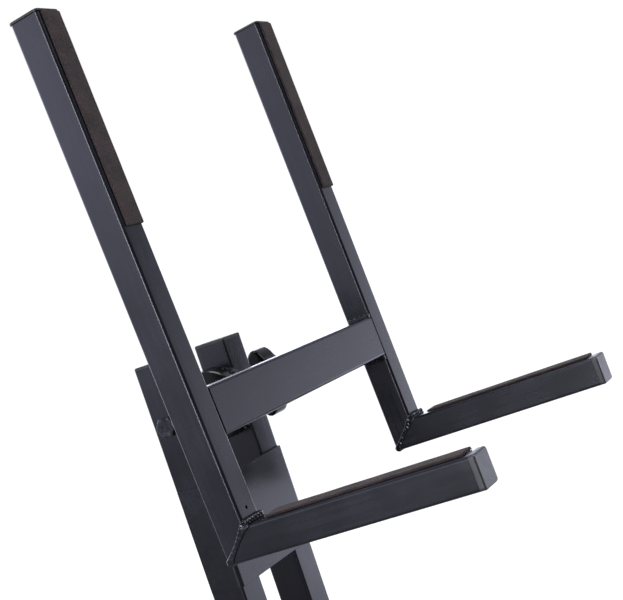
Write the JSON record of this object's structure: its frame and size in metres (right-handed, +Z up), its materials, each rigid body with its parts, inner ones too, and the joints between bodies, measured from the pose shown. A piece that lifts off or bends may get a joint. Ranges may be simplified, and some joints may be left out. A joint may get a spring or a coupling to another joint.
{
  "type": "folding amp stand",
  "caption": "Folding amp stand: a tilting cradle of L-shaped padded arms on a leaning twin-tube column with a hinged rear leg and clamping knob.",
  "frame": {"origin": "on the floor, below the middle of the whole stand", "axes": "+Z up, -Y the front, where the arms point, +X the right, where the knob is"},
  "size_m": [0.4186, 0.4672, 0.7957],
  "materials": {
    "coated_steel": "satin black powder coat",
    "cap_plastic": "dark grey polyethylene",
    "knob_plastic": "glossy black nylon",
    "disc_plastic": "black glass-filled nylon",
    "foam_pad": "brown-black cellular rubber strip",
    "rubber_boot": "matt black rubber",
    "bolt_steel": "black-oxide steel"
  },
  "bodies": {
    "column": {"column_disc": "disc_plastic", "front_foot_bar": "coated_steel", "knob_washer": "bolt_steel", "left_column": "coated_steel", "left_column_cap": "cap_plastic", "left_column_plug": "cap_plastic", "left_front_boot": "rubber_boot", "left_leg_ear": "coated_steel", "left_leg_washer": "bolt_steel", "leg_bolt": "bolt_steel", "leg_nut": "bolt_steel", "leg_stop": "bolt_steel", "lug_washer": "bolt_steel", "right_column": "coated_steel", "right_column_cap": "cap_plastic", "right_column_plug": "cap_plastic", "right_front_boot": "rubber_boot", "right_leg_ear": "coated_steel", "right_leg_washer": "bolt_steel", "sleeve": "coated_steel", "tilt_bolt": "bolt_steel"},
    "cradle": {"cradle_disc": "disc_plastic", "crossbar": "coated_steel", "left_arm": "coated_steel", "left_arm_cap": "cap_plastic", "left_arm_pad": "foam_pad", "left_corner_weld": "coated_steel", "left_crossbar_weld": "coated_steel", "left_tilt_lug": "coated_steel", "left_upright": "coated_steel", "left_upright_cap": "cap_plastic", "left_upright_pad": "foam_pad", "lug_spacer": "coated_steel", "right_arm": "coated_steel", "right_arm_cap": "cap_plastic", "right_arm_pad": "foam_pad", "right_corner_weld": "coated_steel", "right_crossbar_weld": "coated_steel", "right_tilt_lug": "coated_steel", "right_upright": "coated_steel", "right_upright_cap": "cap_plastic", "right_upright_pad": "foam_pad"},
    "knob": {"tilt_knob": "knob_plastic"},
    "leg": {"left_leg_bush": "cap_plastic", "left_rear_boot": "rubber_boot", "rear_foot_bar": "coated_steel", "rear_leg": "coated_steel", "rear_leg_cap": "cap_plastic", "right_leg_bush": "cap_plastic", "right_rear_boot": "rubber_boot"}
  },
  "joints": [
    {"name": "cradle_tilt", "type": "hinge", "parent": "column", "child": "cradle", "pos_m": [0, 0.0756, 0.47], "axis": [-1, 0, 0], "range_deg": [-24, 30]},
    {"name": "knob_turn", "type": "hinge", "parent": "column", "child": "knob", "pos_m": [0, 0.0756, 0.47], "axis": [1, 0, 0], "continuous": true},
    {"name": "leg_fold", "type": "hinge", "parent": "column", "child": "leg", "pos_m": [0, -0.00845, 0.2452], "axis": [-1, 0, 0], "range_deg": [0, 66.5]}
  ]
}
